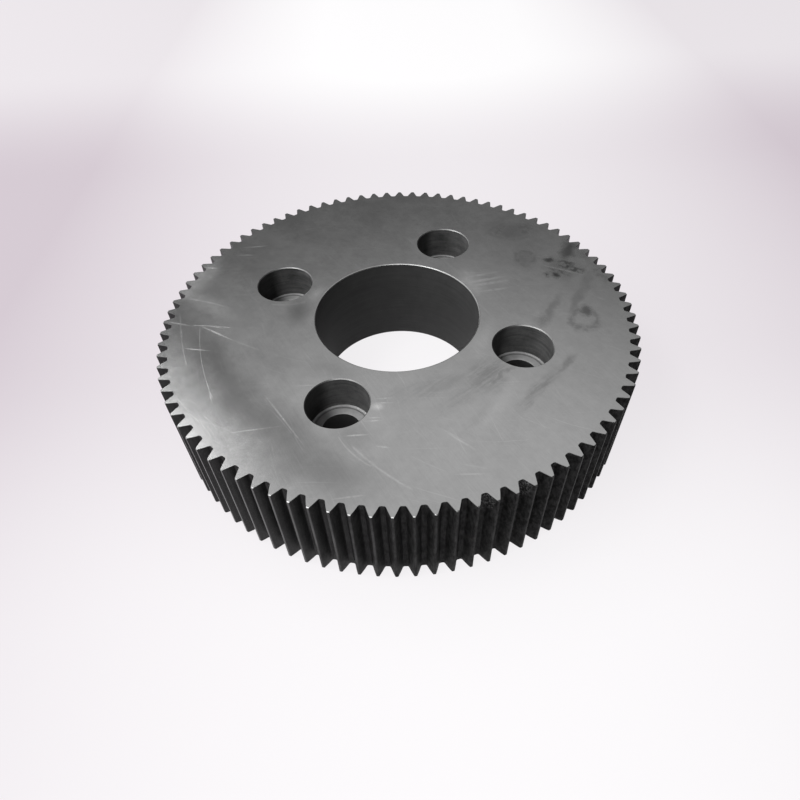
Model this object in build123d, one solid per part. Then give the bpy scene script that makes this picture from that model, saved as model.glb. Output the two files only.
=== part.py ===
from build123d import *
import os
from math import acos, cos, pi, radians, sin, tan

# Spur gear cut from one steel disc, in millimetres. The origin is the centre of the lower end
# face, +Z runs up the shaft axis towards the screw seats, and one screw hole lies on +X.

# Toothing: the module sets its size, and the factors give the tooth's own form in modules.
module = 2.5
tooth_count = 90
pressure_angle = 25.0          # degrees, at the pitch circle
addendum_factor = 1.0
dedendum_factor = 0.96
tooth_thickness_factor = 1.38  # along the pitch circle
root_fillet_factor = 0.38
first_tooth_angle = 0.83       # degrees from +X to the middle of the nearest tooth

# Disc and shaft bore
face_width = 48.0
bore_diameter = 80.0
bore_chamfer = 0.6

# Counterbored holes for M16 socket-head screws, sunk in the upper face
screw_count = 4
screw_hole_diameter = 17.5
counterbore_diameter = 28.0
counterbore_depth = 17.5
counterbore_chamfer = 0.4      # at its mouth
bore_to_counterbore = 9.5      # metal left between the two

# Worked-out sizes
pitch_radius = module * tooth_count / 2
base_radius = pitch_radius * cos(radians(pressure_angle))
tip_radius = pitch_radius + addendum_factor * module
root_radius = pitch_radius - dedendum_factor * module
first_space_angle = first_tooth_angle + 180 / tooth_count
screw_circle_radius = bore_diameter / 2 + bore_to_counterbore + counterbore_diameter / 2
overrun = module / 10          # how far each cut runs out of the metal


def involute_angle(radius):
    """Angle in radians that the involute has unwound from the base circle at this radius."""
    angle = acos(min(1.0, base_radius / radius))
    return tan(angle) - angle


def flank_point(radius, side):
    """Point at this radius on one flank of the tooth space that is centred on +X."""
    half_space = pi / tooth_count - tooth_thickness_factor * module / (2 * pitch_radius)
    unwound = involute_angle(radius) - involute_angle(pitch_radius)
    angle = side * (half_space + unwound)
    return (radius * cos(angle), radius * sin(angle))


def tooth_space():
    """Outline of one tooth space: two involute flanks and a flat root with filleted corners.
    Each flank is an arc through three points of its involute, true to a few thousandths."""
    mouth_radius = tip_radius + overrun
    flank_radii = (root_radius, (root_radius + mouth_radius) / 2, mouth_radius)
    with BuildSketch() as space:
        with BuildLine():
            for side in (-1, 1):
                ThreePointArc(*[flank_point(radius, side) for radius in flank_radii])
            for radius in (root_radius, mouth_radius):
                Line(flank_point(radius, -1), flank_point(radius, 1))
        make_face()
        root_corners = space.vertices().sort_by(Axis.X)[:2]
        fillet(root_corners, root_fillet_factor * module)
    return space.sketch


def bored_disc():
    with BuildPart() as disc:
        Cylinder(tip_radius, face_width, align=(Align.CENTER, Align.CENTER, Align.MIN))
        Hole(bore_diameter / 2)
        rims = disc.edges().filter_by(GeomType.CIRCLE).sort_by(SortBy.RADIUS)[:2]
        chamfer(rims, bore_chamfer)
    return disc.part


def screw_seat():
    """Cutter for one counterbored hole, in place along the axis of the disc."""
    hole_radius = screw_hole_diameter / 2
    counterbore_radius = counterbore_diameter / 2
    floor = face_width - counterbore_depth
    with BuildPart() as cutter:
        with BuildSketch(Plane.XZ):
            with BuildLine():
                Polyline(
                    (0, 0),
                    (hole_radius, 0),
                    (hole_radius, floor),
                    (counterbore_radius, floor),
                    (counterbore_radius, face_width - counterbore_chamfer),
                    (counterbore_radius + counterbore_chamfer, face_width),
                    (0, face_width),
                    close=True,
                )
            make_face()
        revolve(axis=Axis.Z)
    return cutter.part


def spur_gear():
    with BuildPart() as gear:
        add(bored_disc())
        with PolarLocations(screw_circle_radius, screw_count):
            add(screw_seat(), mode=Mode.SUBTRACT)
        with BuildSketch():
            with PolarLocations(0, tooth_count, start_angle=first_space_angle):
                add(tooth_space())
        extrude(amount=face_width, mode=Mode.SUBTRACT)
    return gear.part


os.makedirs("parts", exist_ok=True)
export_step(spur_gear(), "parts/spur_gear.step")
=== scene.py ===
from math import acos, cos, hypot, pi, radians, sin, tan

import bmesh
import bpy
from mathutils import Matrix, Vector, noise


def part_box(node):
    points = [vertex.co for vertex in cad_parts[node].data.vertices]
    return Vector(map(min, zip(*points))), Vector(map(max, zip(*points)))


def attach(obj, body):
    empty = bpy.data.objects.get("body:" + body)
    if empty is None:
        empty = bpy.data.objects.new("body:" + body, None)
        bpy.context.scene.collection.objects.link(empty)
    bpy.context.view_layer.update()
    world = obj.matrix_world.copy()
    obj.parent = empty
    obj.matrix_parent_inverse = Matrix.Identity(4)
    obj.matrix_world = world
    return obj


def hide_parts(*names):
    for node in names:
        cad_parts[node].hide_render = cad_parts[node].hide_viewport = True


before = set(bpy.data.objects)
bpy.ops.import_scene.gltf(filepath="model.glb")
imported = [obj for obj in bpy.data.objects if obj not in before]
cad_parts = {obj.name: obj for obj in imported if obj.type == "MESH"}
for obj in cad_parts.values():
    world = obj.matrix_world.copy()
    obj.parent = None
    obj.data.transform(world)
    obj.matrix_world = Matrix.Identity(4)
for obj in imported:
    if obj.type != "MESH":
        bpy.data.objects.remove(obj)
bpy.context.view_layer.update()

# The looks of the spur gear: its surface with the fine edges that the solid leaves out, its
# steel with the wear and with painted shade and highlight, and the floor, camera and lights of
# a plain studio.

MM = 0.001
HEADING = radians(25.32)      # the camera's turn about the gear's axis

# ---------------------------------------------------------------- sizes, in millimetres
low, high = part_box("spur_gear")
FACE_WIDTH = (high.z - low.z) / MM

MODULE = 2.5
TOOTH_COUNT = 90
PRESSURE_ANGLE = radians(25.0)
DEDENDUM_FACTOR = 0.96
TOOTH_THICKNESS_FACTOR = 1.38
FIRST_TOOTH_ANGLE = radians(0.83)
PITCH_RADIUS = MODULE * TOOTH_COUNT / 2
BASE_RADIUS = PITCH_RADIUS * cos(PRESSURE_ANGLE)
TIP_RADIUS = PITCH_RADIUS + MODULE
ROOT_RADIUS = PITCH_RADIUS - DEDENDUM_FACTOR * MODULE
PITCH_ANGLE = 2 * pi / TOOTH_COUNT
ROOT_BEND = 0.627            # how far the root's fillet reaches, along the root and the flank
TIP_ROUNDING = 0.12
RIM_CHAMFER = 0.35           # turned on both rims of the blank before the teeth were cut
DEBURR = 0.12                # broken edge all round the tooth ends
FLANK_STEPS = 6
ROOT_BEND_STEPS = 4
TIP_BEND_STEPS = 2
SMOOTH_ANGLE = radians(24)   # edges sharper than this stay crisp

BORE_RADIUS = 40.0
BORE_CHAMFER = 0.6
BORE_STEPS = 192
ROUNDED_CHAMFER = ((1.0, 0.0), (0.55, 0.14), (0.14, 0.55), (0.0, 1.0))  # out and down

SCREW_CIRCLE_RADIUS = 63.5
SCREW_COUNT = 4
SEAT_STEPS = 96
SEAT_RADIUS = 14.0
SEAT_DEPTH = 17.5
SEAT_CHAMFER = 0.4
SEAT_SLOPE = (0.35, 0.85, 0.08)      # top, width and foot of the slope in the floor's corner
SEAT_GROOVE = (1.2, 1.9, 0.06)       # deepest and inner line, from the wall, and its depth
HOLE_RADIUS = 8.75
HOLE_UPPER_EDGE = 0.15
HOLE_LOWER_EDGE = 0.2

# Caked dirt under the upper rim: in which spaces, counted from the first, how far down and how
# far out it builds up, the share of the space's width that it fills, and its rings of vertices
CRUSTED_SPACES = (77, 79)
CRUST_DEPTH = 10.0
CRUST_THICKNESS = 0.7
CRUST_WIDTH = 0.8
CRUST_PINCH = 0.6 / 1.1      # how much its outline draws in towards its middle
CRUST_LEVELS = 26

# Zones of the gear, in the order of its material slots
ZONES = ("ground_face", "tooth_flank", "tooth_land", "tooth_end_edge", "cut_edge", "seat_edge",
         "bore_wall", "seat_wall", "seat_floor", "seat_groove", "lower_face")
ZONE = {name: index for index, name in enumerate(ZONES)}


# ---------------------------------------------------------------- the gear's mesh
def involute(radius):
    angle = acos(min(1.0, BASE_RADIUS / radius))
    return tan(angle) - angle


def on_circle(radius, angle):
    return Vector((radius * cos(angle), radius * sin(angle)))


def flank_point(radius):
    """Point on the upper flank of the space that is centred on +X."""
    half_space = pi / TOOTH_COUNT - TOOTH_THICKNESS_FACTOR * MODULE / (2 * PITCH_RADIUS)
    return on_circle(radius, half_space + involute(radius) - involute(PITCH_RADIUS))


def rounded(before, corner, after, steps):
    """Points of a smooth bend from one point to the other in place of the corner."""
    points = []
    for step in range(steps + 1):
        t = step / steps
        points.append(before * (1 - t) ** 2 + corner * 2 * t * (1 - t) + after * t ** 2)
    return points


def half_space_outline(tip_limit):
    """Half of one tooth space: root middle, fillet, flank, tip edge, middle of the land."""
    root_corner = flank_point(ROOT_RADIUS)
    root_end = root_corner - Vector((0, ROOT_BEND))
    flank_start = ROOT_RADIUS + ROOT_BEND
    flank_end = tip_limit - TIP_ROUNDING
    tip_corner = flank_point(tip_limit)
    land_start = on_circle(tip_limit, (tip_corner.y + TIP_ROUNDING) / tip_limit)
    outline = [Vector((root_corner.x, 0.0))]
    outline += rounded(root_end, root_corner, flank_point(flank_start), ROOT_BEND_STEPS)
    for step in range(1, FLANK_STEPS):
        share = step / FLANK_STEPS
        outline.append(flank_point(flank_start + (flank_end - flank_start) * share))
    outline += rounded(flank_point(flank_end), tip_corner, land_start, TIP_BEND_STEPS)
    outline.append(on_circle(tip_limit, PITCH_ANGLE / 2))
    return outline


def space_outline(tip_limit, inset):
    """One whole pitch from land middle up to, but without, the next land middle, moved into
    the metal by the inset."""
    half = half_space_outline(tip_limit)
    mirrored = [Vector((p.x, -p.y)) for p in reversed(half[1:])]
    whole = mirrored + half
    moved = []
    for index in range(len(whole) - 1):
        here = whole[index]
        after = whole[index + 1]
        if index:
            before = whole[index - 1]
        else:
            before = Matrix.Rotation(-PITCH_ANGLE, 2) @ whole[-2]
        along = (after - here).normalized() + (here - before).normalized()
        along.normalize()
        moved.append(here + inset * Vector((-along.y, along.x)))
    return moved


def crust(space, x, y, z):
    """How far caked dirt stands out of the root at this height, 0 outside it."""
    below = (FACE_WIDTH - z) / CRUST_DEPTH
    if below > 1 or below <= 0:
        return 0.0
    above_end = 1 - below
    ragged = noise.fractal(Vector((x, y, z)) * 0.9, 0.6, 2.0, 4)
    lump = noise.noise(Vector((x * 0.5, y * 0.5, z * 0.35 + space)))
    strength = min(1.0, above_end * 2.2) * (0.55 + 0.5 * lump) + ragged * 0.3 * above_end
    return max(0.0, strength) * CRUST_THICKNESS


def tooth_levels(crusted):
    """Heights of the rings of vertices, each with its tip radius and its inset."""
    chamfered = [(0.0, TIP_RADIUS - RIM_CHAMFER, DEBURR),
                 (DEBURR, TIP_RADIUS - RIM_CHAMFER + DEBURR, 0.0),
                 (RIM_CHAMFER, TIP_RADIUS, 0.0)]
    levels = list(chamfered)
    if crusted:
        first = FACE_WIDTH - CRUST_DEPTH
        last = FACE_WIDTH - RIM_CHAMFER
        for step in range(CRUST_LEVELS):
            levels.append((first + (last - first) * step / CRUST_LEVELS, TIP_RADIUS, 0.0))
    levels += [(FACE_WIDTH - z, tip, inset) for z, tip, inset in reversed(chamfered)]
    return levels


def tooth_column(bm, outlines, space, index):
    """The vertices, from the bottom up, over one point of one space's outline."""
    crusted = space in CRUSTED_SPACES
    beside_crust = index == 0 and (space - 1) % TOOTH_COUNT in CRUSTED_SPACES
    middle = len(outlines[TIP_RADIUS, 0.0]) // 2
    away = abs(index - middle) / middle / CRUST_WIDTH
    first_space_angle = FIRST_TOOTH_ANGLE + PITCH_ANGLE / 2
    turn = Matrix.Rotation(first_space_angle + space * PITCH_ANGLE, 2)
    column = []
    for z, tip, inset in tooth_levels(crusted or beside_crust):
        point = outlines[tip, inset][index].copy()
        if crusted and index and away < 1 and z < FACE_WIDTH:
            out = crust(space, *(turn @ point), z) * (1 - away ** 2)
            point += out * Vector((1.0, -CRUST_PINCH * point.y * out))
        x, y = turn @ point
        column.append((z, bm.verts.new((x * MM, y * MM, z * MM))))
    return column


def tooth_zone(on_land, crusted, bottom, top):
    """The zone of a face of the toothing between two heights."""
    at_rim = bottom < RIM_CHAMFER or top > FACE_WIDTH - RIM_CHAMFER
    at_end = bottom < DEBURR / 2 or top > FACE_WIDTH - DEBURR / 2
    if on_land:
        return "cut_edge" if at_rim else "tooth_land"
    if crusted and top > FACE_WIDTH / 2:
        return "tooth_flank"
    return "tooth_end_edge" if at_end else "tooth_flank"


def build_toothing(bm):
    kinds = {(tip, inset) for z, tip, inset in tooth_levels(False)}
    outlines = {kind: space_outline(*kind) for kind in kinds}
    count = len(outlines[TIP_RADIUS, 0.0])
    order = [(space, index) for space in range(TOOTH_COUNT) for index in range(count)]
    columns = [tooth_column(bm, outlines, space, index) for space, index in order]
    for (space, index), left, right in zip(order, columns, columns[1:] + columns[:1]):
        crusted = space in CRUSTED_SPACES
        levels = [z for z, tip, inset in tooth_levels(crusted)]
        for bottom, top in zip(levels, levels[1:]):
            rising = [vertex for z, vertex in left if bottom <= z <= top]
            falling = [vertex for z, vertex in right if bottom <= z <= top]
            face = bm.faces.new(list(reversed(rising)) + falling)
            on_land = index in (0, count - 1)
            face.material_index = ZONE[tooth_zone(on_land, crusted, bottom, top)]
    return [column[0][1] for column in columns], [column[-1][1] for column in columns]


def build_turned_hole(bm, centre, profile, steps):
    """A hole with the profile [(radius, z, zone below this point)], from the top down.
    Returns its lowest and its highest ring of vertices."""
    rings = []
    for radius, z, zone in profile:
        ring = []
        for step in range(steps):
            angle = 2 * pi * step / steps
            x = centre[0] + radius * cos(angle)
            y = centre[1] + radius * sin(angle)
            ring.append(bm.verts.new((x * MM, y * MM, z * MM)))
        rings.append(ring)
    for (radius, z, zone), upper, lower in zip(profile, rings, rings[1:]):
        for step in range(steps):
            after = (step + 1) % steps
            face = bm.faces.new((upper[step], lower[step], lower[after], upper[after]))
            face.material_index = ZONE[zone]
    return rings[-1], rings[0]


def fill_face(bm, loops, normal, zone):
    edges = []
    for loop in loops:
        for a, b in zip(loop, loop[1:] + loop[:1]):
            edges.append(bm.edges.get((a, b)))
    made = bmesh.ops.triangle_fill(bm, edges=edges, use_beauty=True, normal=normal)
    for item in made["geom"]:
        if isinstance(item, bmesh.types.BMFace):
            item.material_index = ZONE[zone]
            item.normal_update()
            if item.normal.dot(Vector(normal)) < 0:
                item.normal_flip()


def bore_profile():
    upper = [(BORE_RADIUS + out * BORE_CHAMFER, FACE_WIDTH - down * BORE_CHAMFER, "cut_edge")
             for out, down in ROUNDED_CHAMFER]
    lower = [(radius, FACE_WIDTH - z, "cut_edge") for radius, z, zone in reversed(upper)]
    upper[-1] = (*upper[-1][:2], "bore_wall")
    return upper + lower


def seat_profile():
    """Counterbore with its mouth chamfer, sloping floor corner, and the screw's hole."""
    floor = FACE_WIDTH - SEAT_DEPTH
    slope_top, slope_width, slope_foot = SEAT_SLOPE
    groove_middle, groove_end, groove_depth = SEAT_GROOVE
    return [
        (SEAT_RADIUS + SEAT_CHAMFER, FACE_WIDTH, "seat_edge"),
        (SEAT_RADIUS, FACE_WIDTH - SEAT_CHAMFER, "seat_wall"),
        (SEAT_RADIUS, floor + slope_top, "seat_floor"),
        (SEAT_RADIUS - slope_width, floor + slope_foot, "seat_groove"),
        (SEAT_RADIUS - groove_middle, floor - groove_depth, "seat_groove"),
        (SEAT_RADIUS - groove_end, floor, "seat_floor"),
        (HOLE_RADIUS + HOLE_UPPER_EDGE, floor, "seat_floor"),
        (HOLE_RADIUS, floor - HOLE_UPPER_EDGE, "bore_wall"),
        (HOLE_RADIUS, HOLE_LOWER_EDGE, "cut_edge"),
        (HOLE_RADIUS + HOLE_LOWER_EDGE, 0.0, None),
    ]


def seat_centre(seat):
    return on_circle(SCREW_CIRCLE_RADIUS, 2 * pi * seat / SCREW_COUNT)


def build_gear():
    bm = bmesh.new()
    rims = [build_toothing(bm)]
    rims.append(build_turned_hole(bm, (0.0, 0.0), bore_profile(), BORE_STEPS))
    for seat in range(SCREW_COUNT):
        rims.append(build_turned_hole(bm, seat_centre(seat), seat_profile(), SEAT_STEPS))
    fill_face(bm, [upper for lower, upper in rims], (0, 0, 1), "ground_face")
    fill_face(bm, [lower for lower, upper in rims], (0, 0, -1), "lower_face")
    bmesh.ops.recalc_face_normals(bm, faces=bm.faces)
    open_edges = sum(1 for edge in bm.edges if len(edge.link_faces) != 2)
    if open_edges:
        raise RuntimeError(f"the gear's mesh has {open_edges} open or shared edges")
    flat = (ZONE["ground_face"], ZONE["lower_face"])
    for face in bm.faces:
        face.smooth = True
    for edge in bm.edges:
        a, b = edge.link_faces
        beside_flat = (a.material_index in flat) != (b.material_index in flat)
        edge.smooth = not beside_flat and a.normal.angle(b.normal) < SMOOTH_ANGLE
    mesh = bpy.data.meshes.new("gear")
    bm.to_mesh(mesh)
    bm.free()
    gear = bpy.data.objects.new("gear", mesh)
    bpy.context.scene.collection.objects.link(gear)
    return gear


# ---------------------------------------------------------------- materials
class Graph:
    """A material's node tree, with short calls for the nodes used here."""

    def __init__(self, name):
        self.material = bpy.data.materials.new(name)
        self.material.use_nodes = True
        self.tree = self.material.node_tree
        self.shader = self.tree.nodes["Principled BSDF"]
        place = self.node("ShaderNodeTexCoord").outputs["Object"]
        self.place = self.vector_math("SCALE", place, scale=1 / MM)

    def node(self, kind, **settings):
        made = self.tree.nodes.new(kind)
        for key, value in settings.items():
            setattr(made, key, value)
        return made

    def feed(self, socket, value):
        if isinstance(value, bpy.types.NodeSocket):
            self.tree.links.new(value, socket)
        else:
            socket.default_value = value

    def vector_math(self, operation, a, b=None, scale=None):
        made = self.node("ShaderNodeVectorMath", operation=operation)
        self.feed(made.inputs[0], a)
        if b is not None:
            self.feed(made.inputs[1], b)
        if scale is not None:
            self.feed(made.inputs["Scale"], scale)
        return made.outputs["Vector"]

    def math(self, operation, a, b=0.0, c=0.0, clamp=False):
        made = self.node("ShaderNodeMath", operation=operation, use_clamp=clamp)
        for socket, value in zip(made.inputs, (a, b, c)):
            self.feed(socket, value)
        return made.outputs[0]

    def span(self, value, low, high, to_low=0.0, to_high=1.0):
        """Smooth step from low to high, turned into the range to_low to to_high."""
        made = self.node("ShaderNodeMapRange", interpolation_type="SMOOTHSTEP")
        for socket, item in zip(made.inputs, (value, low, high, to_low, to_high)):
            self.feed(socket, item)
        return made.outputs[0]

    def mapped(self, place, turn=0.0, stretch=(1, 1, 1), shift=(0, 0, 0)):
        """Coordinates turned about Z by degrees and then stretched and shifted."""
        return self.stretched(self.turned(place, radians(turn)), stretch, shift)

    def turned(self, place, angle):
        made = self.node("ShaderNodeVectorRotate", rotation_type="Z_AXIS")
        self.feed(made.inputs["Vector"], place)
        made.inputs["Angle"].default_value = angle
        return made.outputs[0]

    def stretched(self, place, stretch, shift):
        made = self.node("ShaderNodeVectorMath", operation="MULTIPLY_ADD")
        self.feed(made.inputs[0], place)
        made.inputs[1].default_value = stretch
        made.inputs[2].default_value = shift
        return made.outputs[0]

    def distance(self, place):
        """How far the place is from its origin."""
        made = self.node("ShaderNodeVectorMath", operation="LENGTH")
        self.feed(made.inputs[0], place)
        return made.outputs["Value"]

    def noise(self, place, scale, detail=2.0, rough=0.5, distortion=0.0, output="Fac"):
        made = self.node("ShaderNodeTexNoise")
        self.feed(made.inputs["Vector"], place)
        made.inputs["Scale"].default_value = scale
        made.inputs["Detail"].default_value = detail
        made.inputs["Roughness"].default_value = rough
        made.inputs["Distortion"].default_value = distortion
        return made.outputs[output]

    def grey(self, value):
        """A grey colour of this brightness."""
        made = self.node("ShaderNodeCombineColor")
        for socket in made.inputs[:3]:
            self.feed(socket, value)
        return made.outputs[0]

    def bump(self, height, strength, distance):
        made = self.node("ShaderNodeBump")
        self.feed(made.inputs["Height"], height)
        made.inputs["Strength"].default_value = strength
        made.inputs["Distance"].default_value = distance * MM
        return made.outputs["Normal"]

    def finish(self, brightness, roughness, normal, metallic=1.0):
        self.feed(self.shader.inputs["Base Color"], self.grey(brightness))
        self.feed(self.shader.inputs["Roughness"], roughness)
        self.feed(self.shader.inputs["Normal"], normal)
        self.feed(self.shader.inputs["Metallic"], metallic)
        return self.material


# A mark fades evenly from its middle to its border, so it is drawn this much larger
SPREAD = 1.3

# Scratches on the upper face: from x, y to x, y, how far the middle bows to the left of that
# line, half the width, and how clear it is
SCRATCHES = (
    (-85.3, -44, -50.3, -82.5, -2.2, 0.32, 0.58),
    (-99.5, -40.5, -73.7, -70, -1, 0.41, 0.37),
    (-101, -39.5, -88, -54, -0.4, 0.27, 0.27),
    (-103, -47.5, -88, -45.5, 0, 0.61, 0.34),
    (-89.5, -45.4, -70, -39.6, 0.5, 0.54, 0.65),
    (-84.5, -43, -72, -41, 0, 0.41, 0.34),
    (-85, -44, -65, -46.8, 0, 0.54, 0.54),
    (-65, -46.8, -48, -48, 0, 0.54, 0.14),
    (-83, -60.2, -70.3, -57, 0, 0.41, 0.51),
    (-104, -28.9, -80, -27.2, 0.6, 0.74, 0.37),
    (-57.5, -76.5, -50, -84, 0, 0.34, 0.27),
    (-31, -71.7, -2.2, -88.9, 0, 0.43, 0.3),
    (-24, -78, -9, -86, 0.3, 0.31, 0.2),
    (-16, -84, -36, -96.5, 0, 0.43, 0.2),
    (8.5, -79.5, 28, -88.2, -1.5, 0.54, 0.3),
    (15.3, -81.5, 47, -92, -1.3, 0.75, 0.34),
    (10.3, -79, 19.6, -74.3, 0, 0.47, 0.37),
    (25, -78.4, 31, -77, 0, 0.47, 0.25),
    (20.5, -107.3, 31, -101, 0, 0.43, 0.22),
    (15.5, -68.3, 22, -65.3, 0, 0.39, 0.3),
    (15.8, -66.3, 20.5, -64.2, 0, 0.31, 0.25),
    (14.5, -55.3, 21, -52, 0, 0.47, 0.25),
    (14.8, -57.8, 22, -54.6, 0, 0.39, 0.25),
    (-21, -61.4, -13.5, -57.8, 0, 0.47, 0.17),
    (49, -61.3, 62.5, -65.2, 0, 0.59, 0.18),
    (45, -60, 58, -62.8, 0, 0.39, 0.1),
    (59, -79.3, 70, -74.6, 0, 0.47, 0.16),
    (60, -73.8, 70, -72, 0, 0.47, 0.1),
    (25, 35.5, 40, 47, 0, 1.1, 0.22),
    (28, 34, 43, 44.5, 0, 1.1, 0.2),
    (32, 30, 46, 39.5, 0, 1.0, 0.17),
    (23, 40, 36, 49.5, 0, 1.0, 0.17),
    (56, 63.6, 78, 63, 0, 0.7, 0.22),
    (-102, 20, -90, 27, 0, 0.68, 0.27),
    (-102, 12.5, -92, 16.5, 0, 0.61, 0.24),
    (-111, -3.2, -104, -1.5, 0, 0.68, 0.34),
    (-62, -17, -46, -8.5, -1.6, 1.08, 0.2),
    (-60, 88, -48, 96, 0.6, 0.47, 0.17),
    (-82, 45, -66, 57, 0.6, 0.47, 0.17),
    (-70, -10, -84, -18, 0.5, 0.47, 0.17),
)

# Dark smears on the upper face: x, y, half-lengths along and across, turn in degrees,
# how strong, and whether it is broken up into streaks or spots
SOLID, STREAKY, BLOTCHY = range(3)
SMEARS = (
    (65.5, 82, 5, 12, 0, 1.1, SOLID),
    (74, 79, 9, 4, -40, 0.45, SOLID),
    (85, 68, 9, 4, -52, 0.5, BLOTCHY),
    (66, 66, 11, 10, -10, 0.5, SOLID),
    (58.3, 69, 4.0, 3.6, 0, 1.2, BLOTCHY),
    (67.5, 68.5, 6, 5, 0, 1.2, BLOTCHY),
    (73, 66, 5.5, 3.6, -10, 1.1, BLOTCHY),
    (66, 61.5, 9, 2.4, -4, 0.9, BLOTCHY),
    (63, 57.4, 4.2, 3.2, 0, 1.3, BLOTCHY),
    (80.5, 57, 2.6, 12, 4, 0.28, SOLID),
    (79, 40, 2.6, 13, -3, 0.36, SOLID),
    (69, 30, 2.6, 14, -4, 0.4, SOLID),
    (67.4, 21, 4, 6, 0, 0.45, SOLID),
    (84.8, 35.2, 4.0, 4.4, 0, 0.9, SOLID),
    (46, 67, 6.5, 6.5, 0, 0.4, SOLID),
    (29, 88, 11, 9, 0, 0.5, SOLID),
    (38, 93, 7, 6, 0, 0.6, BLOTCHY),
    (24, 86, 6, 8, 0, 0.55, BLOTCHY),
    (54, -24, 9, 13, -16, 0.42, STREAKY),
    (59.6, -23, 1.5, 11, -17, 0.38, SOLID),
    (50, -37, 5, 20, -28, 0.24, STREAKY),
    (36, -38, 5, 22, -40, 0.22, STREAKY),
    (24, -47, 4, 14, -40, 0.16, STREAKY),
    (58, -50, 3, 16, -15, 0.14, STREAKY),
    (76.5, -25, 3, 17, -16, 0.42, STREAKY),
    (84, -5, 2.2, 9, -16, 0.45, STREAKY),
)

# Broad soft painted shades and painted highlights on the upper face, standing in for how the
# polished face reflects the light, with some of the finish's own uneven tone: x, y,
# half-lengths along and across, turn in degrees, and how much darker than the rest, or lighter
# where it is below 0. The outline of one longer than this wanders.
WANDERS_FROM = 8
PAINTED_SHADES_AND_HIGHLIGHTS = (
    (-100.0, -42.0, 18.0, 7.0, -34, 0.20),
    (-74.0, -57.0, 26.0, 9.0, -33, 0.28),
    (-50.0, -71.0, 28.0, 12.0, -29, 0.34),
    (-60.0, -66.0, 32.0, 15.0, -34, 0.20),
    (-20.0, -84.0, 28.0, 14.0, -17, 0.42),
    (10.0, -97.0, 28.0, 16.0, -3, 0.38),
    (-40.0, -55.0, 20.0, 12.0, -20, 0.18),
    (-12.0, -47.0, 15.0, 8.0, 0, 0.14),
    (14.0, -76.0, 11.0, 9.0, 0, 0.22),
    (-46.0, -17.0, 7.0, 11.0, 25, 0.36),
    (-90.0, -29.0, 20.0, 6.0, -12, -0.46),
    (-109.0, -12.0, 10.0, 20.0, 8, -0.95),
    (-44.0, -1.0, 4.0, 7.0, 0, -0.30),
    (26.0, 36.0, 13.0, 7.0, -48, -0.36),
    (16.8, -59.2, 3.2, 2.2, 25, -0.45),
    (64.0, -38.0, 4.0, 18.0, -8, -0.08),
    (45.0, -2.0, 4.5, 14.0, 0, -0.14),
)

# Ring-shaped stains: x, y, half-lengths along and across, half the width of the line, how
# strong
STAIN_RINGS = (
    (45.5, 67.0, 4.3, 5.4, 2.4, 0.50),
    (85.5, 28.5, 6.2, 7.0, 2.6, 0.50),
    (30.0, 88.0, 9.0, 8.5, 3.0, 0.35),
)

# Painted shade over the left side of every screw seat, as the camera sees it, where the seat's
# wall shades it: where its middle lies from a seat's axis, how far it reaches, and how much of
# the brightness it leaves
SEAT_SHADE_SHIFT = (-14.0, 5.0)
SEAT_SHADE_REACH = 14.0
SEAT_SHADE_DARK = 0.3


def local_place(graph, place, x, y, turn, along, across, z=0.0, down=1000.0):
    """Coordinates moved, turned and divided so that a mark reaches 1 from its own middle. A
    mark on a face is left so deep that height makes no difference."""
    made = graph.node("ShaderNodeMapping", vector_type="TEXTURE")
    graph.feed(made.inputs["Vector"], place)
    made.inputs["Location"].default_value = (x, y, z)
    made.inputs["Rotation"].default_value = (0, 0, turn)
    made.inputs["Scale"].default_value = (along, across, down)
    return made.outputs[0]


def warped(graph, scale, reach):
    """Coordinates pushed about by chance, up to about this far, so that outlines wander."""
    chance = graph.noise(graph.place, scale, 3.0, 0.65, output="Color")
    push = graph.stretched(chance, (2 * reach, 2 * reach, 0), (-reach, -reach, 0))
    return graph.vector_math("ADD", graph.place, push)


def blob(graph, place, x, y, turn, along, across):
    """1 in the middle of an ellipse, falling evenly to 0 at its border."""
    made = graph.node("ShaderNodeTexGradient", gradient_type="SPHERICAL")
    graph.feed(made.inputs["Vector"], local_place(graph, place, x, y, turn, along, across))
    return made.outputs["Fac"]


def scratch_mask(graph):
    """1 on the listed scratches, 0 off them, broken up along their length."""
    total = 0.0
    for x1, y1, x2, y2, bow, half_width, clear in SCRATCHES:
        length = hypot(x2 - x1, y2 - y1)
        turn = -Vector((1, 0)).angle_signed(Vector((x2 - x1, y2 - y1)))
        side = Vector((-(y2 - y1), x2 - x1)) / length
        middle = Vector((x1 + x2, y1 + y2)) / 2 + side * bow
        if bow:
            place = local_place(graph, graph.place, middle.x, middle.y, turn, length / 2,
                                half_width)
            split = graph.node("ShaderNodeSeparateXYZ")
            graph.feed(split.inputs[0], place)
            square = graph.math("MULTIPLY", split.outputs[0], split.outputs[0])
            across = graph.math("MULTIPLY_ADD", square, bow / half_width, split.outputs[1])
            line = graph.math("MULTIPLY_ADD", graph.math("ABSOLUTE", across), -clear, clear)
            ends = graph.math("MULTIPLY_ADD", square, -4.0, 4.0, clamp=True)
            mark = graph.math("MULTIPLY", line, ends)
        else:
            line = blob(graph, graph.place, middle.x, middle.y, turn, 0.6 * length,
                        SPREAD * half_width)
            mark = graph.math("MULTIPLY", line, 2.2 * clear)
        total = graph.math("MAXIMUM", mark, total)
    breaks = graph.span(graph.noise(graph.place, 0.35, 3.0, 0.7), 0.30, 0.56, 0.25, 1.0)
    return graph.math("MULTIPLY", graph.math("MINIMUM", total, 1.0), breaks)


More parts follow.
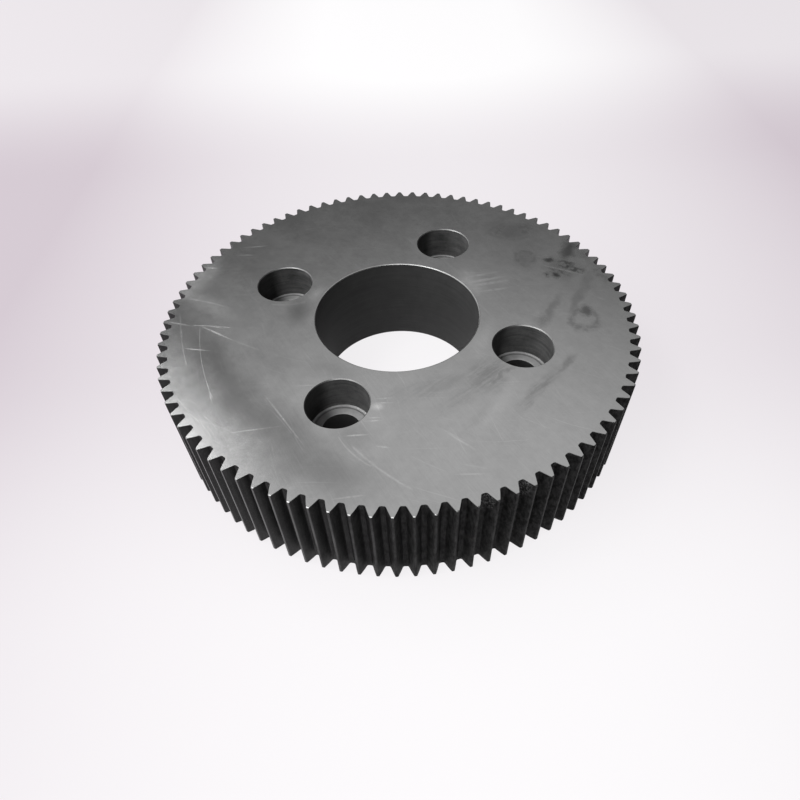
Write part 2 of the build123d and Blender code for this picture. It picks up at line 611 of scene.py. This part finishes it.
def smear_mask(graph):
    """How dark the smears and ring stains make each place, 0 to 1."""
    wandering = warped(graph, 0.16, 3.5)
    totals = [0.0, 0.0, 0.0]
    for x, y, along, across, turn, strong, kind in SMEARS:
        inside = blob(graph, wandering, x, y, radians(turn), SPREAD * along, SPREAD * across)
        mark = graph.span(inside, 0.0, 0.8, 0.0, strong)
        totals[kind] = graph.math("MAXIMUM", mark, totals[kind])
    for x, y, along, across, half_width, strong in STAIN_RINGS:
        place = local_place(graph, wandering, x, y, 0.0, along, across)
        away = graph.math("ABSOLUTE", graph.math("SUBTRACT", graph.distance(place), 1.0))
        ring = graph.span(away, half_width / along * 1.2, 0.0, 0.0, strong)
        totals[BLOTCHY] = graph.math("MAXIMUM", ring, totals[BLOTCHY])
    streaks = graph.noise(graph.mapped(graph.place, 27, (0.5, 0.07, 0.3)), 1.0, 4.0, 0.8)
    streaks = graph.span(streaks, 0.34, 0.64, 0.25, 1.0)
    blotches = graph.span(graph.noise(graph.place, 0.33, 3.0, 0.6), 0.36, 0.56, 0.3, 1.0)
    broken = graph.math("MAXIMUM", graph.math("MULTIPLY", totals[STREAKY], streaks),
                        graph.math("MULTIPLY", totals[BLOTCHY], blotches))
    return graph.math("MAXIMUM", totals[SOLID], broken)


def with_painted_light(graph, light):
    """The brightness with the broad painted shades and painted highlights laid over it."""
    wandering = warped(graph, 0.06, 6.0)
    for x, y, along, across, turn, darker in PAINTED_SHADES_AND_HIGHLIGHTS:
        place = wandering if along > WANDERS_FROM else graph.place
        inside = blob(graph, place, x, y, radians(turn), SPREAD * along, SPREAD * across)
        light = graph.math("MULTIPLY", light, graph.span(inside, 0.0, 1.0, 1.0, 1.0 - darker))
    return light


def hairlines(graph, turn, along, across, shift, threshold):
    """Faint scratches of chance place and length, all about in one direction."""
    bend = graph.vector_math("SCALE", graph.grey(graph.noise(graph.place, 0.02, 1.0)),
                             scale=14.0)
    bent = graph.vector_math("ADD", graph.place, bend)
    lines = graph.mapped(bent, turn, (along, across, 0.0), (shift, shift, 0.0))
    return graph.span(graph.noise(lines, 1.0, 1.0), threshold, threshold + 0.08)


def ground_face(name, marked):
    graph = Graph(name)
    cloud = graph.noise(graph.place, 0.028, 3.0, 0.55, 0.5)
    mottle = graph.noise(graph.place, 0.20, 4.0, 0.75)
    grain = graph.noise(graph.place, 2.5, 3.0, 0.7)
    brushing = graph.noise(graph.mapped(graph.place, 35, (0.04, 1.6, 0.0)), 1.0, 3.0, 0.6)
    light = graph.math("MULTIPLY_ADD", cloud, 0.10, 0.20)
    light = graph.math("MULTIPLY_ADD", mottle, 0.10, light)
    light = graph.math("MULTIPLY_ADD", brushing, 0.06, light)
    light = graph.math("MULTIPLY_ADD", grain, 0.04, light)
    rough = graph.math("MULTIPLY_ADD", cloud, 0.10, 0.13)
    rough = graph.math("MULTIPLY_ADD", mottle, 0.06, rough)
    faint = graph.math("MAXIMUM", hairlines(graph, 38, 0.03, 1.3, 3.0, 0.66),
                       hairlines(graph, -24, 0.03, 1.3, 9.0, 0.68))
    faint = graph.math("MAXIMUM", hairlines(graph, 4, 0.025, 1.1, 17.0, 0.68), faint)
    light = graph.math("MULTIPLY_ADD", faint, 0.035, light)
    height = graph.math("MULTIPLY_ADD", grain, 0.5, brushing)
    height = graph.math("MULTIPLY_ADD", faint, -0.6, height)
    if marked:
        scratches = scratch_mask(graph)
        smears = smear_mask(graph)
        kept = graph.math("MULTIPLY_ADD", smears, -0.62, 1.0)
        # Painted shades and painted highlights laid over the face's brightness
        light = with_painted_light(graph, graph.math("MULTIPLY", light, kept))
        light = graph.math("MULTIPLY_ADD", scratches, 0.26, light)
        rough = graph.math("MULTIPLY_ADD", smears, 0.12, rough)
        rough = graph.math("MULTIPLY_ADD", scratches, 0.1, rough)
    normal = graph.bump(height, 0.22, 0.02)
    return graph.finish(light, rough, normal)


def with_painted_seat_shade(graph, light):
    """The brightness with painted shade laid over the left side of every screw seat."""
    turn = Matrix.Rotation(HEADING, 2)
    for seat in range(SCREW_COUNT):
        middle = seat_centre(seat) + turn @ Vector(SEAT_SHADE_SHIFT)
        inside = blob(graph, graph.place, middle.x, middle.y, 0.0, SEAT_SHADE_REACH, SEAT_SHADE_REACH)
        light = graph.math("MULTIPLY", light, graph.span(inside, 0.05, 0.5, 1.0, SEAT_SHADE_DARK))
    return light


def worked_metal(name, base, spread, rough, streak, metallic=1.0, specular=0.5, bump=0.3,
                 seat_shade_painted=False):
    """Machined steel: cloudy, with tool marks stretched as streak says and a fine grain. Each
    noise is about a half on average, so that the brightness stays about at base."""
    graph = Graph(name)
    cloud = graph.noise(graph.place, 0.12, 3.0, 0.6)
    grain = graph.noise(graph.place, 1.6, 3.0, 0.75)
    marks = graph.noise(graph.mapped(graph.place, 0, streak), 1.0, 3.0, 0.65)
    light = graph.math("MULTIPLY_ADD", cloud, spread, base - 1.25 * spread)
    light = graph.math("MULTIPLY_ADD", marks, spread, light)
    light = graph.math("MULTIPLY_ADD", grain, spread / 2, light)
    # Painted shade over the left side of each screw seat
    if seat_shade_painted:
        light = with_painted_seat_shade(graph, light)
    roughness = graph.math("MULTIPLY_ADD", cloud, 0.2, rough - 0.1)
    height = graph.math("MULTIPLY_ADD", marks, 1.0, grain)
    normal = graph.bump(height, bump, 0.03)
    graph.shader.inputs["Specular IOR Level"].default_value = specular
    return graph.finish(light, roughness, normal, metallic)


# Towards which side of the gear the teeth are darkest: thicker old grease there, and painted
# shade on the side turned away from the lamps
DARKEST_TEETH_ANGLE = FIRST_TOOTH_ANGLE - radians(20)


def grease_and_painted_shade_side(graph):
    """1 on the side of the toothing that is darkened by old grease and by painted shade, 0 on
    the lighter, cleaner side.
    """
    side = graph.node("ShaderNodeVectorMath", operation="DOT_PRODUCT")
    graph.feed(side.inputs[0], graph.place)
    side.inputs[1].default_value = (*on_circle(1 / TIP_RADIUS, DARKEST_TEETH_ANGLE), 0.0)
    patchy = graph.noise(graph.place, 0.06, 3.0, 0.6)
    where = graph.math("MULTIPLY_ADD", patchy, 0.5, side.outputs["Value"])
    return graph.span(where, 0.45, 1.0)


# How far the caked dirt's colour reaches out and to both sides of the root, and how far under
# the upper face its middle lies
CAKED_REACH = (8.0, 4.4)
CAKED_BELOW_TOP = 2.0


def caked(graph):
    """1 inside the lumps of caked dirt under the upper rim, 0 away from them."""
    ragged = graph.noise(graph.place, 0.7, 4.0, 0.7)
    total = 0.0
    for space in CRUSTED_SPACES:
        angle = FIRST_TOOTH_ANGLE + (space + 0.5) * PITCH_ANGLE
        place = local_place(graph, graph.place, *on_circle(ROOT_RADIUS, angle), angle,
                            *CAKED_REACH, FACE_WIDTH - CAKED_BELOW_TOP, CRUST_DEPTH)
        inside = graph.span(graph.distance(place), 1.2, 0.5)
        total = graph.math("MAXIMUM", inside, total)
    torn = graph.math("MULTIPLY_ADD", ragged, 1.4, graph.math("SUBTRACT", total, 0.9))
    return graph.span(torn, 0.25, 0.5)


def toothing(name, base, spread, rough):
    """Hobbed teeth, dark with old oil: faint marks along the teeth, and one side darker with
    dirt and painted shade.
    """
    graph = Graph(name)
    cloud = graph.noise(graph.place, 0.15, 3.0, 0.6)
    grain = graph.noise(graph.place, 1.3, 4.0, 0.8)
    marks = graph.noise(graph.mapped(graph.place, 0, (1.3, 1.3, 0.05)), 1.0, 3.0, 0.65)
    specks = graph.noise(graph.place, 1.8, 2.0, 0.8)
    light = graph.math("MULTIPLY_ADD", cloud, spread, base - 1.5 * spread)
    light = graph.math("MULTIPLY_ADD", marks, spread, light)
    light = graph.math("MULTIPLY_ADD", grain, spread, light)
    light = graph.math("MULTIPLY_ADD", graph.span(specks, 0.5, 0.75), spread, light)
    # One side darker: partly old grease, partly painted shade
    dirt = grease_and_painted_shade_side(graph)
    crusted = caked(graph)
    blotches = graph.noise(graph.mapped(graph.place, 0, (0.6, 0.6, 0.3)), 1.0, 5.0, 0.75)
    blotches = graph.span(blotches, 0.35, 0.68, 0.003, 0.034)
    light = graph.math("MULTIPLY", light, graph.math("SUBTRACT", 1.0, dirt))
    light = graph.math("MULTIPLY_ADD", blotches, dirt, light)
    bare = graph.math("SUBTRACT", 1.0, crusted)
    speckle = graph.span(specks, 0.46, 0.70, 0.004, 0.13)
    light = graph.math("MULTIPLY_ADD", light, bare, graph.math("MULTIPLY", speckle, crusted))
    roughness = graph.math("MULTIPLY_ADD", cloud, 0.2, rough - 0.1)
    roughness = graph.math("MULTIPLY_ADD", dirt, 0.25, roughness)
    roughness = graph.math("MAXIMUM", roughness, graph.math("MULTIPLY", crusted, 0.9))
    height = graph.math("MULTIPLY_ADD", marks, 1.0, grain)
    normal = graph.bump(height, 0.4, 0.04)
    graph.shader.inputs["Specular IOR Level"].default_value = 0.1
    covered = graph.math("MAXIMUM", graph.math("MULTIPLY", dirt, 0.5), crusted)
    return graph.finish(light, roughness, normal, graph.math("SUBTRACT", 1.0, covered))


# Machined zones: how light, by how much that varies, how rough, and how the tool marks are
# stretched, with what differs from clean bare steel
WORKED_METALS = {
    "tooth_end_edge": dict(base=0.10, spread=0.05, rough=0.5, streak=(1.0, 1.0, 1.0)),
    "cut_edge": dict(base=0.34, spread=0.10, rough=0.28, streak=(0.5, 0.5, 3.0)),
    "seat_edge": dict(base=0.20, spread=0.06, rough=0.36, streak=(0.5, 0.5, 3.0)),
    # The bore wall's very dark colour and low specular level are painted shade for the inside
    # of the bore
    "bore_wall": dict(base=0.045, spread=0.022, rough=0.6, streak=(0.02, 0.02, 1.3),
                      metallic=0.0, specular=0.1),
    "seat_wall": dict(base=0.10, spread=0.16, rough=0.5, streak=(0.04, 0.04, 0.9),
                      metallic=0.2, specular=0.2, bump=0.6, seat_shade_painted=True),
    "seat_floor": dict(base=0.40, spread=0.15, rough=0.45, streak=(0.4, 0.4, 1.0),
                       metallic=0.2, seat_shade_painted=True),
    "seat_groove": dict(base=0.20, spread=0.08, rough=0.5, streak=(0.4, 0.4, 1.0),
                        metallic=0.2, seat_shade_painted=True),
}


def gear_materials():
    made = {
        "ground_face": ground_face("ground_face", marked=True),
        "lower_face": ground_face("lower_face", marked=False),
        "tooth_flank": toothing("tooth_flank", base=0.028, spread=0.034, rough=0.45),
        "tooth_land": toothing("tooth_land", base=0.085, spread=0.05, rough=0.35),
    }
    for zone, looks in WORKED_METALS.items():
        made[zone] = worked_metal(zone, **looks)
    return made


# ---------------------------------------------------------------- camera, floor and light
TOP = Vector((0, 0, FACE_WIDTH * MM))           # the middle of the upper face
LENS = 27.2
LOOKS_DOWN = radians(48.11)
ROLL = radians(-2.53)
STANDS = Vector((-0.39, -229.7, 192.0)) * MM    # from there, before the turn by the heading


def add_camera():
    data = bpy.data.cameras.new("camera")
    data.lens = LENS
    data.clip_start = 0.01
    camera = bpy.data.objects.new("camera", data)
    bpy.context.scene.collection.objects.link(camera)
    tilt = Matrix.Rotation(pi / 2 - LOOKS_DOWN, 4, "X")
    roll = Matrix.Rotation(ROLL, 4, "Z")
    turn = Matrix.Rotation(HEADING, 4, "Z")
    camera.matrix_world = Matrix.Translation(TOP + turn @ STANDS) @ turn @ tilt @ roll
    bpy.context.scene.camera = camera


# Softboxes that look at the gear's upper face: name, direction as the camera sees it, with x to
# the right, y away and z up, width and height in metres, and radiance
SOFTBOX_DISTANCE = 1.2
SOFTBOXES = (
    ("left_back", (-0.54, 0.45, 0.719), (0.34, 0.36), 5.0),
    ("left", (-0.85, -0.05, 0.55), (1.3, 1.2), 1.0),
    ("front_left", (-0.52, -0.48, 0.71), (0.5, 0.5), 4.0),
    ("front", (-0.1, -0.70, 0.74), (0.6, 0.5), 3.5),
    ("low_left", (-0.66, 0.74, 0.18), (0.85, 0.6), 0.9),
    ("high_left", (-0.55, -0.05, 0.83), (0.4, 0.3), 9.0),
)


def add_softbox(name, direction, size, radiance):
    data = bpy.data.lights.new(name, "AREA")
    data.shape = "RECTANGLE"
    data.size, data.size_y = size
    data.energy = radiance * pi * size[0] * size[1]
    lamp = bpy.data.objects.new(name, data)
    bpy.context.scene.collection.objects.link(lamp)
    turn = Matrix.Rotation(HEADING, 3, "Z")
    away = (turn @ Vector(direction)).normalized()
    lamp.location = TOP + away * SOFTBOX_DISTANCE
    lamp.rotation_euler = away.to_track_quat("Z", "Y").to_euler()


# The floor's pale tint where it is darkest and where it is white, the share of it that is seen
# without shade, and how its brightness runs, in metres as the camera sees it, as painted light
# falloff: darker to both sides of a middle line, and lighter in front and far behind, with a
# pool of painted light in the centre, under the gear where its shadow falls
FLOOR_REACH = 4.0
FLOOR_DARK = (0.645, 0.575, 0.63, 1.0)
FLOOR_WHITE = (1.0, 0.99, 1.0, 1.0)
FLOOR_GLOW = 0.88
FLOOR_MIDDLE = 0.58
FLOOR_MIDDLE_X = 0.04
FLOOR_SIDE_FALL = -7.0
FLOOR_PAINTED_LIGHT_UNDER_GEAR = (0.09, 0.05, 0.0, 0.30)
FLOOR_FRONT = (0.03, -0.14, 0.0, 0.30)
FLOOR_BACK = (0.24, 0.48, 0.0, 0.5)


def add_floor():
    mesh = bpy.data.meshes.new("floor")
    corners = ((-1, -1), (1, -1), (1, 1), (-1, 1))
    mesh.from_pydata([(x * FLOOR_REACH, y * FLOOR_REACH, 0) for x, y in corners], [],
                     [(0, 1, 2, 3)])
    floor = bpy.data.objects.new("floor", mesh)
    floor.location.z = low.z
    bpy.context.scene.collection.objects.link(floor)
    graph = Graph("floor")
    metres = graph.vector_math("SCALE", graph.place, scale=MM)
    split = graph.node("ShaderNodeSeparateXYZ")
    graph.feed(split.inputs[0], graph.turned(metres, -HEADING))
    across, away = split.outputs[0], split.outputs[1]
    side = graph.math("SUBTRACT", across, FLOOR_MIDDLE_X)
    bright = graph.math("MULTIPLY_ADD", graph.math("MULTIPLY", side, side),
                        FLOOR_SIDE_FALL, FLOOR_MIDDLE)
    bright = graph.math("MAXIMUM", bright, 0.0)
    # Painted light in the centre, on the floor under the gear
    bright = graph.math("ADD", bright, graph.span(graph.distance(metres), *FLOOR_PAINTED_LIGHT_UNDER_GEAR))
    bright = graph.math("ADD", bright, graph.span(away, *FLOOR_FRONT))
    bright = graph.math("ADD", bright, graph.span(away, *FLOOR_BACK))
    paper = graph.noise(graph.place, 0.004, 2.0, 0.5)
    bright = graph.math("MULTIPLY_ADD", paper, 0.02, bright, clamp=True)
    tint = graph.node("ShaderNodeMix", data_type="RGBA")
    graph.feed(tint.inputs[0], bright)
    tint.inputs[6].default_value = FLOOR_DARK
    tint.inputs[7].default_value = FLOOR_WHITE
    graph.feed(graph.shader.inputs["Base Color"], tint.outputs[2])
    graph.shader.inputs["Roughness"].default_value = 0.9
    graph.shader.inputs["Specular IOR Level"].default_value = 0.1
    glow = graph.node("ShaderNodeEmission")
    graph.feed(glow.inputs["Color"], tint.outputs[2])
    path = graph.node("ShaderNodeLightPath")
    seen = graph.math("MAXIMUM", path.outputs["Is Camera Ray"], path.outputs["Is Glossy Ray"])
    mix = graph.node("ShaderNodeMixShader")
    graph.feed(mix.inputs[0], graph.math("MULTIPLY", seen, FLOOR_GLOW))
    graph.feed(mix.inputs[1], graph.shader.outputs[0])
    graph.feed(mix.inputs[2], glow.outputs[0])
    graph.feed(graph.tree.nodes["Material Output"].inputs["Surface"], mix.outputs[0])
    mesh.materials.append(graph.material)


# Where the studio's ceiling is brightest and where its side walls stand, as the camera sees
# them; for each, between which cosines from that direction it fades, and what it adds there
CEILING = ((0.04, 0.26, 0.966), (0.70, 0.91, 0.17, 0.98))
LEFT_WALL = ((-1.0, 0.0, 0.0), (0.35, 0.90, 0.0, 0.30))
RIGHT_WALL = ((1.0, -0.15, 0.0), (0.30, 0.85, 0.0, -0.08))


def add_world():
    """Grey studio walls that grow lighter towards a pale ceiling and to the left."""
    world = bpy.data.worlds.new("studio")
    bpy.context.scene.world = world
    world.use_nodes = True
    tree = world.node_tree
    turn = Matrix.Rotation(HEADING, 3, "Z")
    place = tree.nodes.new("ShaderNodeTexCoord")
    total = None
    for direction, fade in (CEILING, LEFT_WALL, RIGHT_WALL):
        dot = tree.nodes.new("ShaderNodeVectorMath")
        dot.operation = "DOT_PRODUCT"
        tree.links.new(place.outputs["Generated"], dot.inputs[0])
        dot.inputs[1].default_value = turn @ Vector(direction).normalized()
        ramp = tree.nodes.new("ShaderNodeMapRange")
        ramp.interpolation_type = "SMOOTHSTEP"
        for socket, value in zip(ramp.inputs[1:5], fade):
            socket.default_value = value
        tree.links.new(dot.outputs["Value"], ramp.inputs[0])
        add = tree.nodes.new("ShaderNodeMath")
        tree.links.new(ramp.outputs[0], add.inputs[0])
        add.inputs[1].default_value = 0.0
        if total:
            tree.links.new(total, add.inputs[1])
        total = add.outputs[0]
    background = tree.nodes["Background"]
    background.inputs["Color"].default_value = (1.0, 1.0, 1.0, 1.0)
    tree.links.new(total, background.inputs["Strength"])


gear = build_gear()
materials = gear_materials()
for zone in ZONES:
    gear.data.materials.append(materials[zone])
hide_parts("spur_gear")
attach(gear, "root")

add_camera()
add_floor()
add_world()
for softbox in SOFTBOXES:
    add_softbox(*softbox)
bpy.context.scene.view_settings.view_transform = "Standard"
